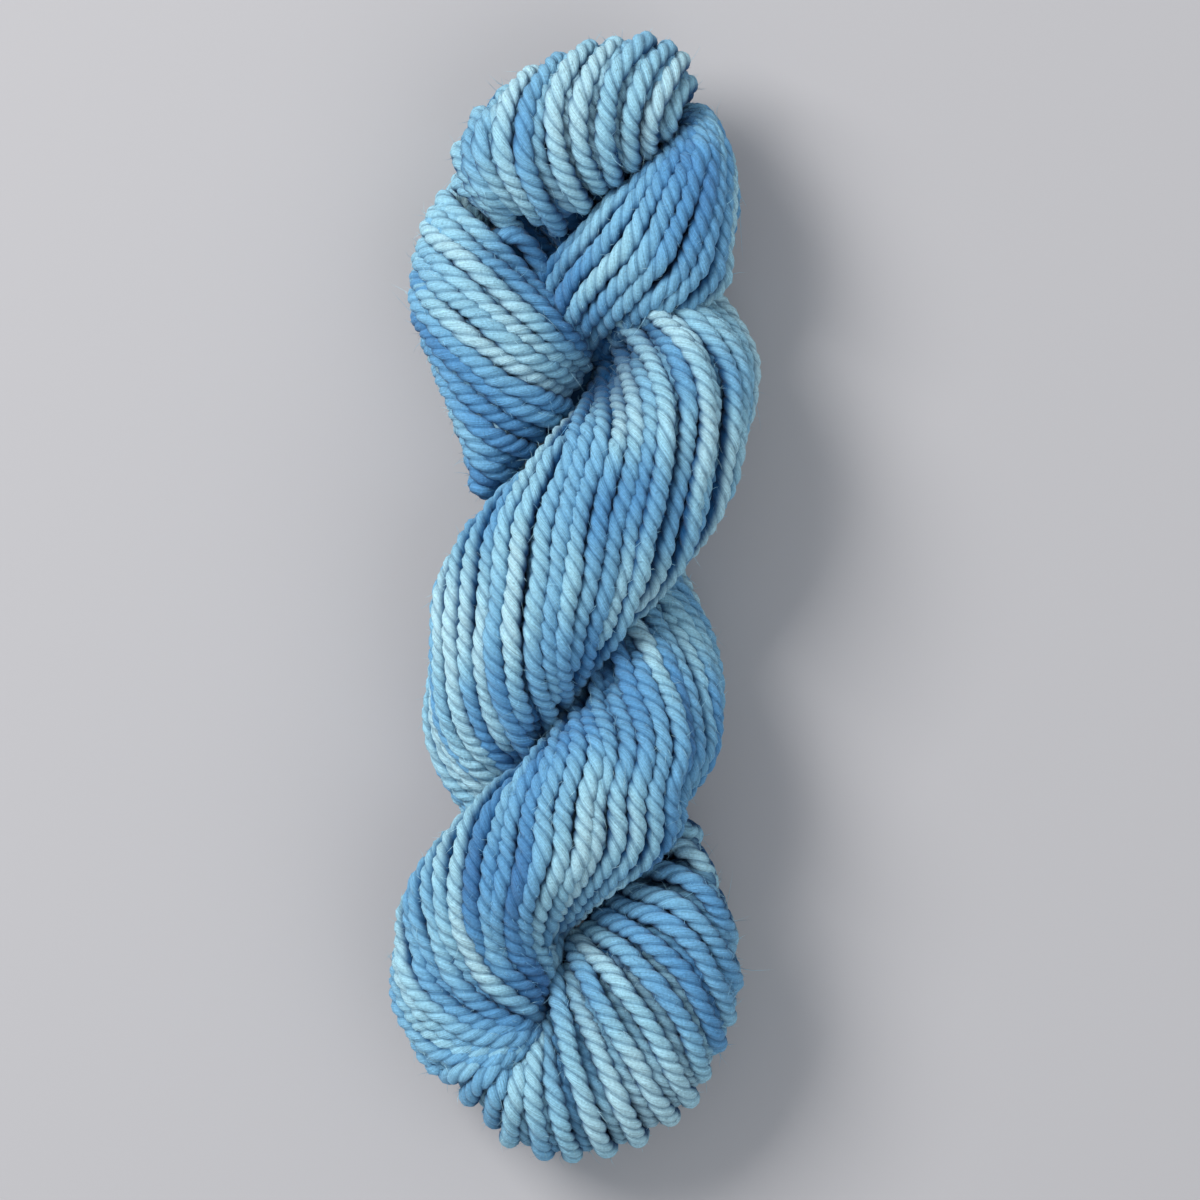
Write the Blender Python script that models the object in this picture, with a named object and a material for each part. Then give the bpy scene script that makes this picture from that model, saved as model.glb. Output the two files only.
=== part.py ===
"""A hank of chunky wool yarn, twisted on itself and lying flat.

The hank is a long loop of yarn that has been twisted, folded in half and left to lay
up on itself as a two-strand rope. Its lower end is the fold. At the upper end one end
of the loop is pulled through the other: it stands up as a fan between the two legs.

Lengths are in millimetres until the meshes are made. +X is to the right of the hank,
+Y runs along it towards the fan and +Z is up from the surface that it lies on.
"""

import bmesh
import bpy
import numpy as np

MM = 0.001

# The section of a strand, seen along the hank.
MID_HEIGHT = 23.5  # of the rope's axis above the surface
RISE = 12.5  # of the strand that lies in front, above the axis
SIDE_HALF_WIDTH = 22.6  # of a strand at the rope's side
FRONT_HALF_WIDTH = 30.2  # of a strand where it lies in front and spreads
SIDE_HALF_HEIGHT = 22.1
FRONT_HALF_HEIGHT = 16.8
CONTACT_WIDTH = 19.2  # scales of the flat that the strands press on each other
CONTACT_HEIGHT = 14.9
CONTACT_OVERLAP = 0.08  # of those scales, so that the two strands join
CONTACT_BLEND = 0.5
SURFACE_BLEND = 5.3  # height over which a strand rounds into its flat underside
SUNK = 1.3  # how far the rounded undersides reach below the flat cut

# The end turn bends round this point, the lowest pinch of the rope.
PIVOT_X = -3.1
PIVOT_Y = -85.2
PIVOT_GAP = 0.3
PIVOT_BLEND = 4.0

# Lay of the rope: y, angle of the first strand round the axis (0 right, 90 in front,
# 180 left), x of the axis, distance of a strand from the axis, lift of the first strand
# towards the fan, width that the second strand loses towards the open loop.
LAY = [
    (-108.6, 365, -3.4, 18.6, 0.0, 0.0),
    (-85.2, 360, -3.1, 18.6, 0.0, 0.0),
    (-55.5, 270, -1.7, 16.2, 0.0, 0.0),
    (-24.8, 180, -0.2, 13.8, 0.0, 0.0),
    (14.0, 90, 2.2, 15.2, 0.0, 1.5),
    (31.0, 52, 3.2, 16.4, 0.0, 4.2),
    (53.8, 0, 4.1, 17.6, 0.0, 4.6),
    (79.1, -68, 1.4, 18.6, 1.6, 4.6),
    (93.8, -96, 0.6, 18.6, 6.6, 4.6),
    (107.0, -120, 5.4, 18.6, 12.0, 4.6),
]

FIRST_END = -94.0  # y of the first strand's lower end, inside the end turn
FIRST_TOP = 107.0  # y of its upper end, inside the fan
SECOND_START = -83.0  # y where the second strand leaves the end turn
SECOND_TOP = 40.0  # y where it turns into the left leg
ROOT_LENGTH = 9.0  # over which the first strand narrows inside the end turn
ROOT_SHARE = 0.8  # of its size, left at its lower end

# End turn: angle (0 right, 90 towards the lower end, 180 left), distance of the
# strand's middle from the pivot, half width, middle height, half height.
END_TURN = [
    (-18, 17.6, 17.0, 19.0, 16.0),
    (0, 18.8, 22.2, 22.8, 21.2),
    (30, 22.8, 22.3, 23.0, 21.1),
    (60, 24.7, 24.4, 23.0, 20.6),
    (90, 24.9, 24.7, 22.0, 19.6),
    (120, 22.3, 22.4, 22.0, 20.1),
    (150, 19.6, 22.6, 23.2, 21.4),
    (180, 18.6, 22.6, 23.5, 22.1),
]

# Open loop at the upper end: up the left leg, behind the fan and down the right leg.
# Inner edge x and y, outer edge x and y, middle height, half height.
OPEN_LOOP = [
    (5.4, 52.0, -33.0, 49.6, 21.4, 19.8),
    (2.0, 60.2, -35.6, 58.6, 23.0, 19.4),
    (-3.6, 67.4, -37.4, 68.4, 24.0, 18.6),
    (-12.2, 74.9, -38.6, 80.1, 23.0, 16.3),
    (-20.8, 84.0, -37.1, 91.6, 19.2, 13.9),
    (-19.4, 87.3, -32.8, 100.3, 13.9, 12.0),
    (-12.7, 91.4, -22.3, 110.6, 11.0, 10.5),
    (-3.1, 95.9, -6.9, 118.0, 10.5, 10.1),
    (7.4, 100.7, 10.3, 120.4, 11.0, 10.1),
    (15.6, 104.6, 23.2, 119.4, 13.4, 10.5),
    (19.9, 107.0, 31.4, 116.1, 17.2, 11.5),
    (20.4, 107.0, 37.1, 107.9, 23.5, 12.5),
    (15.6, 102.9, 39.3, 96.4, 27.8, 13.9),
    (6.9, 94.8, 39.0, 82.4, 29.2, 14.9),
    (-3.1, 84.7, 34.6, 71.8, 28.3, 14.4),
    (-11.3, 75.3, 21.3, 61.9, 24.0, 12.0),
    (-16.5, 65.8, 10.3, 53.8, 18.2, 8.6),
]

# Fan, from its left end to its right end, in the same columns.
FAN = [
    (-10.5, 74.0, -28.0, 85.5, 15.0, 8.0),
    (-6.0, 80.1, -30.9, 93.8, 22.0, 9.6),
    (-4.1, 84.7, -29.0, 103.1, 27.3, 12.9),
    (0.2, 88.8, -24.2, 115.1, 30.2, 14.9),
    (5.5, 93.1, -15.1, 125.7, 31.1, 15.3),
    (10.8, 97.4, -3.1, 132.1, 31.1, 15.3),
    (16.1, 101.7, 9.8, 134.4, 31.1, 14.9),
    (21.3, 107.4, 22.3, 133.8, 30.2, 14.4),
    (26.1, 112.4, 30.6, 127.4, 27.8, 11.5),
    (28.6, 115.6, 32.2, 119.4, 25.0, 7.0),
]

STRAND_STEP = 4.5  # between sections along a strand
TURN_STEP = 9.0  # degrees between sections of the end turn
LEAF_STEPS = 2  # sections for each row of the loop and the fan
LEFT_ROWS = 10  # rows of the open loop in its left leg
RIGHT_ROWS = 10  # rows in its right leg, which laps the left one behind the fan
SECTION_POINTS = 28
BLOCK_SIZE = (0.2, 0.4, 0.02)  # metres, of the block that stands for the surface

BLUE = (0.24, 0.49, 0.69, 1.0)


def smooth_rows(place, rows):
    """Columns of a table at the places given, on a smooth curve through its rows."""
    table = np.array(rows, float)
    keys = table[:, 0]
    values = table[:, 1:]
    slopes = np.gradient(values, keys, axis=0)
    place = np.clip(np.asarray(place, float), keys[0], keys[-1])
    row = np.clip(np.searchsorted(keys, place, side="right") - 1, 0, len(keys) - 2)
    span = (keys[row + 1] - keys[row])[:, None]
    u = (place - keys[row])[:, None] / span
    start = (2 * u**3 - 3 * u**2 + 1) * values[row] + (u**3 - 2 * u**2 + u) * span * slopes[row]
    end = (3 * u**2 - 2 * u**3) * values[row + 1] + (u**3 - u**2) * span * slopes[row + 1]
    return (start + end).T[:, :, None]


def soft_max(value, least, blend):
    """The larger of two values, rounded where they are within the blend of each other."""
    share = np.clip(0.5 + 0.5 * (value - least) / blend, 0, 1)
    return value * share + least * (1 - share) + blend * share * (1 - share)


def section_angles():
    """Angles of a section's corners, as one row."""
    return np.linspace(0, 2 * np.pi, SECTION_POINTS, endpoint=False)[None, :]


def rest_on_surface(z):
    """Heights of a rounded underside, flattened just below the surface."""
    return soft_max(z, -SUNK, SURFACE_BLEND)


def strand_rings(y, side):
    """Sections across the hank at each y of the first (0) or the second (180) strand."""
    turn, axis_x, offset, lift, loss = smooth_rows(y, LAY)
    angle = np.radians(turn + side)
    in_front = np.clip(np.sin(angle), 0, 1) ** 2
    at_side = np.cos(angle) ** 2
    half_width = SIDE_HALF_WIDTH + (FRONT_HALF_WIDTH - SIDE_HALF_WIDTH) * in_front
    half_height = FRONT_HALF_HEIGHT + (SIDE_HALF_HEIGHT - FRONT_HALF_HEIGHT) * at_side
    if side:
        half_width = half_width - loss
    root = np.clip((PIVOT_Y - y) / ROOT_LENGTH, 0, 1)[:, None]
    root = 1 - (1 - ROOT_SHARE) * root
    half_width = half_width * root
    half_height = half_height * root
    around = section_angles()
    x = axis_x + offset * np.cos(angle) + half_width * np.cos(around)
    z = MID_HEIGHT + RISE * np.sin(angle) + half_height * np.sin(around)
    # The side that faces the other strand is pressed flat.
    away = (x - axis_x) / CONTACT_WIDTH * np.cos(angle)
    away = away + (z - MID_HEIGHT) / CONTACT_HEIGHT * np.sin(angle)
    push = soft_max(away, -CONTACT_OVERLAP, CONTACT_BLEND) - away
    x = x + push * np.cos(angle) * CONTACT_WIDTH
    z = z + push * np.sin(angle) * CONTACT_HEIGHT
    if not side:
        z = z + lift
    return np.stack([x, y[:, None] + 0 * x, rest_on_surface(z)], axis=-1)


def turn_rings(degrees):
    """Sections of the end turn in upright planes through the pivot."""
    middle, half_width, height, half_height = smooth_rows(degrees, END_TURN)
    around = section_angles()
    reach = soft_max(middle - half_width * np.cos(around), PIVOT_GAP, PIVOT_BLEND)
    z = height + half_height * np.sin(around)
    angle = np.radians(degrees)[:, None]
    x = PIVOT_X + reach * np.cos(angle)
    y = PIVOT_Y - reach * np.sin(angle)
    return np.stack([x, y, rest_on_surface(z)], axis=-1)


def leaf_rings(rows):
    """Upright oval sections between the inner and the outer edge in each row."""
    numbered = [(number, *row) for number, row in enumerate(rows)]
    place = np.linspace(0, len(rows) - 1, (len(rows) - 1) * LEAF_STEPS + 1)
    inner_x, inner_y, outer_x, outer_y, height, half_height = smooth_rows(place, numbered)
    around = section_angles()
    x = (inner_x + outer_x) / 2 + (inner_x - outer_x) / 2 * np.cos(around)
    y = (inner_y + outer_y) / 2 + (inner_y - outer_y) / 2 * np.cos(around)
    z = height + half_height * np.sin(around)
    return np.stack([x, y, rest_on_surface(z)], axis=-1)


def loft(name, rings, collection):
    """A closed body through unlike sections, with a flat cap on each end."""
    sections, points, _ = rings.shape
    number = np.arange(sections * points).reshape(sections, points)
    following = np.roll(number, -1, axis=1)
    corners = [number[:-1], following[:-1], following[1:], number[1:]]
    sides = np.stack(corners, axis=-1).reshape(-1, 4)
    caps = [number[0][::-1].tolist(), number[-1].tolist()]
    mesh = bpy.data.meshes.new(name)
    mesh.from_pydata((rings.reshape(-1, 3) * MM).tolist(), [], sides.tolist() + caps)
    work = bmesh.new()
    work.from_mesh(mesh)
    bmesh.ops.recalc_face_normals(work, faces=work.faces)
    work.to_mesh(mesh)
    work.free()
    body = bpy.data.objects.new(name, mesh)
    collection.objects.link(body)
    return body


def surface_block(collection):
    """A block whose top is the surface that the hank lies on."""
    bpy.ops.mesh.primitive_cube_add(size=1)
    block = bpy.context.active_object
    block.name = "surface_block"
    block.scale = BLOCK_SIZE
    block.location = (0, 0, -BLOCK_SIZE[2] / 2)
    for holder in list(block.users_collection):
        holder.objects.unlink(block)
    collection.objects.link(block)
    return block


def combine(body, other, operation):
    """Joins or cuts the body with another one."""
    joined = body.modifiers.new(f"{operation.lower()}_{other.name}", "BOOLEAN")
    joined.operation = operation
    joined.solver = "EXACT"
    joined.object = other
    other.hide_render = True
    other.display_type = "WIRE"


def wool_material():
    wool = bpy.data.materials.new("blue_wool")
    wool.use_nodes = True
    shader = wool.node_tree.nodes["Principled BSDF"]
    shader.inputs["Base Color"].default_value = BLUE
    shader.inputs["Roughness"].default_value = 0.9
    shader.inputs["Metallic"].default_value = 0.0
    return wool


def build_hank():
    parts = bpy.data.collections.new("hank_of_yarn")
    cutters = bpy.data.collections.new("cutters")
    for collection in (parts, cutters):
        bpy.context.scene.collection.children.link(collection)

    first = np.arange(FIRST_END, FIRST_TOP, STRAND_STEP)
    second = np.arange(SECOND_START, SECOND_TOP, STRAND_STEP)
    turn = np.arange(END_TURN[0][0], END_TURN[-1][0], TURN_STEP)
    left_leg = leaf_rings(OPEN_LOOP[:LEFT_ROWS])
    folded = np.concatenate([turn_rings(turn), strand_rings(second, 180), left_leg])

    hank = loft("hank", strand_rings(first, 0), parts)
    joined = [
        loft("folded_strand", folded, cutters),
        loft("right_leg", leaf_rings(OPEN_LOOP[-RIGHT_ROWS:]), cutters),
        loft("fan", leaf_rings(FAN), cutters),
    ]
    for body in joined:
        combine(hank, body, "UNION")
    combine(hank, surface_block(cutters), "DIFFERENCE")
    hank.data.materials.append(wool_material())


for old in list(bpy.data.objects):
    bpy.data.objects.remove(old)
build_hank()
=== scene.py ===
"""A hank of hand-dyed chunky wool, its single yarns laid over the wound form of the frame.

Lengths are in millimetres until a mesh is made. +X is to the right of the hank, +Y runs
along it towards the fan and +Z is up from the floor that it lies on.
"""

import bpy
import numpy as np
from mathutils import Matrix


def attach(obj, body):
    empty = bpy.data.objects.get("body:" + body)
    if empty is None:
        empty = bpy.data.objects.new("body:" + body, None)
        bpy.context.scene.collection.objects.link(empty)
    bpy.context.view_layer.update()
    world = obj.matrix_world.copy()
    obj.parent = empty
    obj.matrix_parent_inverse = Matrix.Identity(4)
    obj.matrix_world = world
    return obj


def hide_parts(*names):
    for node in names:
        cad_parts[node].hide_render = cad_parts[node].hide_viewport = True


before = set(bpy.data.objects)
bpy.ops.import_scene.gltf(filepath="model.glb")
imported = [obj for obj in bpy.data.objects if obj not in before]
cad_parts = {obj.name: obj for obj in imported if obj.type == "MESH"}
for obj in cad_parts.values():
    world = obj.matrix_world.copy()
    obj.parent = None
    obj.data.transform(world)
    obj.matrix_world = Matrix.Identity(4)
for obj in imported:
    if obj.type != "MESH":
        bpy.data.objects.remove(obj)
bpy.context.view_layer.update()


# ---------------------------------------------------------------------------------------
# The yarn. Chunky wool of three plies, twisted on each other from upper left to lower
# right, soft and a little uneven. Each run is a tube whose ridges follow the plies.

MM = 0.001
DECIMETRE = 100.0
YARN_RADIUS = 2.6
PLIES = 3
PLY_PITCH = 12.5  # length of yarn in which a ply goes round once
VALLEY = 0.72  # of the radius, left between two plies
ROUND = 18  # corners of the yarn's section
YARN_STEP = 1.45  # between sections of a yarn
STRAY = 0.35  # how far a yarn strays sideways from its even path
STRAY_OUT = 0.6  # of that, outwards
STRAY_WAVE = 37.0  # and in what length of yarn
THICK_AND_THIN = 0.07  # share by which its thickness changes
THICK_WAVE = 23.0
LOOSE_TWIST = 0.10  # turns by which its twist is uneven
TWIST_WAVE = 41.0
END_TAPER = 3.0  # length over which a yarn's hidden ends close
SIDE_PAINTED_LIGHT = 0.10  # painted light of a yarn at its side, from 0, all painted shade, to 1
OUTER_PAINTED_LIGHT = 0.85  # and how much more at its outer side
SINK_SHADE_FADE = 6.0  # depth over which a sunken yarn gets painted shade
DYED_LENGTH = 90  # decimetres of dyed wool that a yarn is taken from
WAVES = (1.0, 0.61, 0.37)  # lengths of the sines of a slow noise, and their sizes
WAVE_SIZES = (0.6, 0.4, 0.25)
PINCHES = (  # x and y, how far it draws yarns down, share that it draws them in, shade
    (8.6, 57.6, 17.0, 0.18, 1.00),
    (5.0, 50.4, 13.0, 0.18, 1.00),
    (-0.8, -27.0, 10.0, 0.36, 0.34),
    (-3.2, -80.5, 11.0, 0.34, 0.50),
    (-7.5, 82.0, 8.0, 0.00, 0.60),
)
PINCH_REACH = 10.5  # distance over which a pinch draws
PINCH_FROM = 14.0  # height from which it draws
PINCH_SPAN = 20.0  # and over which that grows to all of it
DYE_AND_SHADE_PATCHES = (  # x and y, reach, how much paler the wool is there: uneven dye, and painted shade near the upper pinch and in the hollow between the legs
    (-14.0, 80.0, 9.0, -0.08),
    (0.0, 64.0, 10.0, -0.08),
    (30.0, 104.0, 13.0, -0.05),
    (6.0, 84.0, 10.0, 0.06),
    (9.0, 22.0, 14.0, -0.07),
    (36.0, 28.0, 12.0, 0.04),
    (-15.0, 6.0, 12.0, 0.04),
    (-12.0, -36.0, 11.0, -0.05),
    (-19.0, -62.0, 11.0, -0.07),
    (-34.0, -84.0, 12.0, 0.06),
    (15.0, -48.0, 10.0, 0.04),
    (19.0, -72.0, 9.0, -0.05),
    (37.0, -92.0, 8.0, -0.05),
    (24.0, -110.0, 11.0, 0.05),
)

rng = np.random.default_rng(11)


def slow_noise(length, wave, rows=1):
    """Smooth noise of about unit size at the places along a yarn: a sum of three sines
    of random phase, the first at the wavelength given and two that are shorter."""
    phase = rng.uniform(0, 2 * np.pi, (rows, len(WAVES), 1))
    rate = 2 * np.pi / (wave * np.array(WAVES))[None, :, None]
    return (np.sin(rate * length + phase) * np.array(WAVE_SIZES)[None, :, None]).sum(1)


def ramp(value, start, length):
    """A value's way from 0 at the start to 1 a length past it, held at both ends."""
    return np.clip((value - start) / length, 0, 1)


def even_steps(columns, step):
    """Rows of numbers along a path, the first three its points, at even steps of its
    length."""
    gaps = np.linalg.norm(np.diff(columns[:, :3], axis=0), axis=1)
    length = np.concatenate([[0], np.cumsum(gaps)])
    place = np.linspace(0, length[-1], max(8, int(length[-1] / step)))
    rows = [np.interp(place, length, columns[:, k]) for k in range(columns.shape[1])]
    return np.stack(rows, axis=1), place


def unit(vectors):
    """Vectors of length one in the same directions."""
    return vectors / np.maximum(np.linalg.norm(vectors, axis=1)[:, None], 1e-9)


def frame_along(points, away):
    """Outward normal and side direction at each point of a path: the normal is what is
    left of the direction away once its part along the tangent is taken off."""
    tangent = unit(np.gradient(points, axis=0))
    normal = unit(away - (away * tangent).sum(1)[:, None] * tangent)
    return normal, np.cross(tangent, normal)


def draw_in(points):
    """Points drawn towards each pinch and down into it, by a bell curve of distance, and
    how much the pinches shade them on the upper side, from 0 to 1."""
    moved = points.copy()
    shaded = np.zeros(len(points))
    for x, y, drop, draw, shade in PINCHES:
        gap = moved[:, :2] - np.array([x, y])
        near = np.exp(-(gap**2).sum(1) / PINCH_REACH**2)
        moved[:, :2] -= draw * near[:, None] * gap
        upper = ramp(moved[:, 2], PINCH_FROM, PINCH_SPAN)
        moved[:, 2] -= drop * near**1.3 * upper
        shaded = np.maximum(shaded, shade * near**1.2 * np.minimum(2 * upper, 1))
    return moved, shaded


def plied_tube(path, outward, sink, corners, step):
    """Corners of one yarn: rings on its path whose radius swells at each ply, the rings
    turning backwards by one turn in each ply pitch so that the plies lie in an S. The
    painted light of a corner falls from its outer side inwards, with the depth that the
    yarn is sunk to, and near a pinch: painted shade where neighbours would shade it."""
    drawn, shaded = draw_in(path)
    columns, place = even_steps(np.column_stack([drawn, outward, sink, shaded]), step)
    points = columns[:, :3]
    normal, side = frame_along(points, columns[:, 3:6])
    stray = slow_noise(place, STRAY_WAVE, 2) * STRAY
    points = points + normal * stray[0][:, None] * STRAY_OUT + side * stray[1][:, None]
    corner = np.arange(corners) / corners
    swell = VALLEY + (1 - VALLEY) * np.abs(np.cos(PLIES * np.pi * corner))
    thick = YARN_RADIUS * (1 + THICK_AND_THIN * slow_noise(place, THICK_WAVE)[0])
    edge = np.minimum(place, place[-1] - place) / END_TAPER
    thick = thick * np.sqrt(np.clip(edge, 0.02, 1))
    turn = place / PLY_PITCH + LOOSE_TWIST * slow_noise(place, TWIST_WAVE)[0] + rng.uniform()
    angle = 2 * np.pi * (corner[None, :] - turn[:, None])
    ring = np.cos(angle)[..., None] * normal[:, None] + np.sin(angle)[..., None] * side[:, None]
    # Painted shade: the colour darkens towards the yarn's sides, where its neighbours would shade
    # it, with the depth it is sunk to and near a pinch.
    painted_light = np.clip(SIDE_PAINTED_LIGHT + OUTER_PAINTED_LIGHT * np.cos(angle), 0, 1)
    painted_light = painted_light * (np.exp(-columns[:, 6] / SINK_SHADE_FADE) * (1 - columns[:, 7]))[:, None]
    return points[:, None] + ring * (thick[:, None] * swell[None, :])[..., None], place, painted_light


def tube_faces(rings, corners, first=0):
    """Quads between neighbouring rings of corners, numbered from the first corner, and
    the faces that close both ends."""
    number = first + np.arange(rings * corners).reshape(rings, corners)
    following = np.roll(number, -1, axis=1)
    quads = np.stack([number[:-1], following[:-1], following[1:], number[1:]], axis=-1)
    return quads.reshape(-1, 4), [number[0, ::-1].tolist(), number[-1].tolist()]


def dye_and_shade_shift(corners):
    """How much paler the wool is at each corner, by uneven dye and, near the upper pinch
    and the hollow between the legs, by painted shade: the sum of the patches' values,
    each times a bell curve of the distance from its middle."""
    shift = np.zeros(len(corners))
    for x, y, reach, paler in DYE_AND_SHADE_PATCHES:
        gap = corners[:, :2] - np.array([x, y])
        shift += paler * np.exp(-(gap**2).sum(1) / reach**2)
    return shift


def finish_piece(name, corners, quads, caps, uv, painted_light, paleness=0.0):
    """An object made from corners in millimetres, quads and end caps, shaded smooth. Each
    corner carries its painted light, low in painted shade, and how much paler its wool is."""
    mesh = bpy.data.meshes.new(name)
    mesh.from_pydata((corners * MM).tolist(), [], quads.tolist() + caps)
    mesh.shade_smooth()
    layer = mesh.uv_layers.new(name="along_and_round")
    flat = np.zeros((len(mesh.loops), 2))
    flat[: len(uv)] = uv
    layer.data.foreach_set("uv", flat.ravel())
    pale = paleness + dye_and_shade_shift(corners)
    for key, values in (("painted_light", painted_light), ("paleness", pale)):
        mesh.attributes.new(key, "FLOAT", "POINT").data.foreach_set("value", values)
    mesh.materials.append(dyed_wool)
    piece = bpy.data.objects.new(name, mesh)
    bpy.context.scene.collection.objects.link(piece)
    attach(piece, "root")
    return piece


yarn_runs = []  # corners of every fine yarn, their painted light and dye places, for the fibres


def lay_yarns(name, paths, outwards, sinks, paleness=0.0, round_count=ROUND, step=YARN_STEP):
    """One piece of many yarns, each a plied tube with its own path, outward directions
    and depths, which set its painted shade. The UV is the length along the yarn in
    decimetres, from a random start on the dyed wool, and the share of a turn round it."""
    corners, quads, caps, uvs, shades, first = [], [], [], [], [], 0
    for path, outward, sink in zip(paths, outwards, sinks):
        tube, place, painted_light = plied_tube(path, outward, sink, round_count, step)
        sides, ends = tube_faces(len(tube), round_count, first)
        along = rng.uniform(0, DYED_LENGTH) + place / DECIMETRE
        round_share = np.arange(round_count) / round_count
        u = np.stack([along[:-1], along[:-1], along[1:], along[1:]], axis=-1)
        v = np.stack([round_share, round_share + 1 / round_count] * 2, axis=-1)[:, [0, 1, 3, 2]]
        uv = np.stack(np.broadcast_arrays(u[:, None], v[None]), axis=-1)
        corners.append(tube.reshape(-1, 3))
        quads.append(sides)
        caps += ends
        uvs.append(uv.reshape(-1, 2))
        shades.append(painted_light.ravel())
        first += len(tube) * round_count
        if round_count == ROUND:
            yarn_runs.append((tube, painted_light, along))
    corners, quads, uvs, shades = (np.concatenate(rows) for rows in (corners, quads, uvs, shades))
    return finish_piece(name, corners, quads, caps, uvs, shades, paleness)


# Dyed wool. The dye took unevenly, so the blue changes along each yarn. Fine fibres
# follow the plies, and the valleys between plies are darkened with painted shade.

PAINTED_SHADE_BLUE = (0.009, 0.072, 0.190, 1)  # painted shade, between the yarns and between the plies
DEEP_BLUE = (0.070, 0.215, 0.450, 1)
MID_BLUE = (0.118, 0.345, 0.625, 1)
SKY_BLUE = (0.200, 0.475, 0.710, 1)
AQUA = (0.320, 0.625, 0.785, 1)
PALE_AQUA = (0.455, 0.740, 0.850, 1)
DYE_RAMP = (  # where the noise of the dye reaches each blue
    (0.33, DEEP_BLUE), (0.41, MID_BLUE), (0.48, SKY_BLUE), (0.54, AQUA), (0.61, PALE_AQUA),
)
DYE_CHANGES = 1.1  # for each decimetre of yarn
DYE_DETAIL = 1.2
PATCH_CHANGES = 30.0  # for each metre across the hank
PATCH_SHARE = 0.33  # of the dye's noise, that goes by place and not along the yarn
LINES_ALONG = 14.0  # changes of the fibre lines for each decimetre of yarn
LINES_ROUND = 40.0  # and once round it
HAIR_CHANGES = 1600.0  # for each metre
LINE_TONE = (0.70, 1.20)  # darkest and lightest of the fibre lines
HAIR_TONE = (0.84, 1.14)
VALLEY_PAINTED_SHADE = 0.52  # painted shade, the tone between two plies
PLY_SHARE = 0.65  # of a ridge's height, from which a ply has no painted shade
FULL_PAINTED_LIGHT = 0.80  # painted light from which the wool has its own colour, below it painted shade
FIBRE_HEIGHT = 0.0004  # metres, of the finest relief
SHEEN_BLUE = (0.75, 0.90, 1.0, 1)


def add_node(tree, kind, **values):
    """A shader node with its own settings and unlinked input values."""
    node = tree.nodes.new(kind)
    for key, value in values.items():
        if key in node.inputs:
            node.inputs[key].default_value = value
        else:
            setattr(node, key, value)
    return node


def linear_node(tree, source, start, stop, low, high, smooth=False):
    """A value carried from one range to another, held at the ends."""
    kind = "SMOOTHSTEP" if smooth else "LINEAR"
    node = add_node(tree, "ShaderNodeMapRange", interpolation_type=kind)
    for key, value in zip(("From Min", "From Max", "To Min", "To Max"), (start, stop, low, high)):
        node.inputs[key].default_value = value
    tree.links.new(source, node.inputs["Value"])
    return node.outputs[0]


def math_node(tree, operation, first, second=None):
    """A maths node on a socket and on a second socket or a number."""
    node = add_node(tree, "ShaderNodeMath", operation=operation)
    tree.links.new(first, node.inputs[0])
    if isinstance(second, (int, float)):
        node.inputs[1].default_value = second
    elif second is not None:
        tree.links.new(second, node.inputs[1])
    return node.outputs[0]


def noise_node(tree, vector, scale, detail, roughness=0.5):
    """Noise of the given scale at a vector."""
    node = add_node(tree, "ShaderNodeTexNoise", Scale=scale, Detail=detail, Roughness=roughness)
    tree.links.new(vector, node.inputs["Vector"])
    return node.outputs["Fac"]


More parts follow.
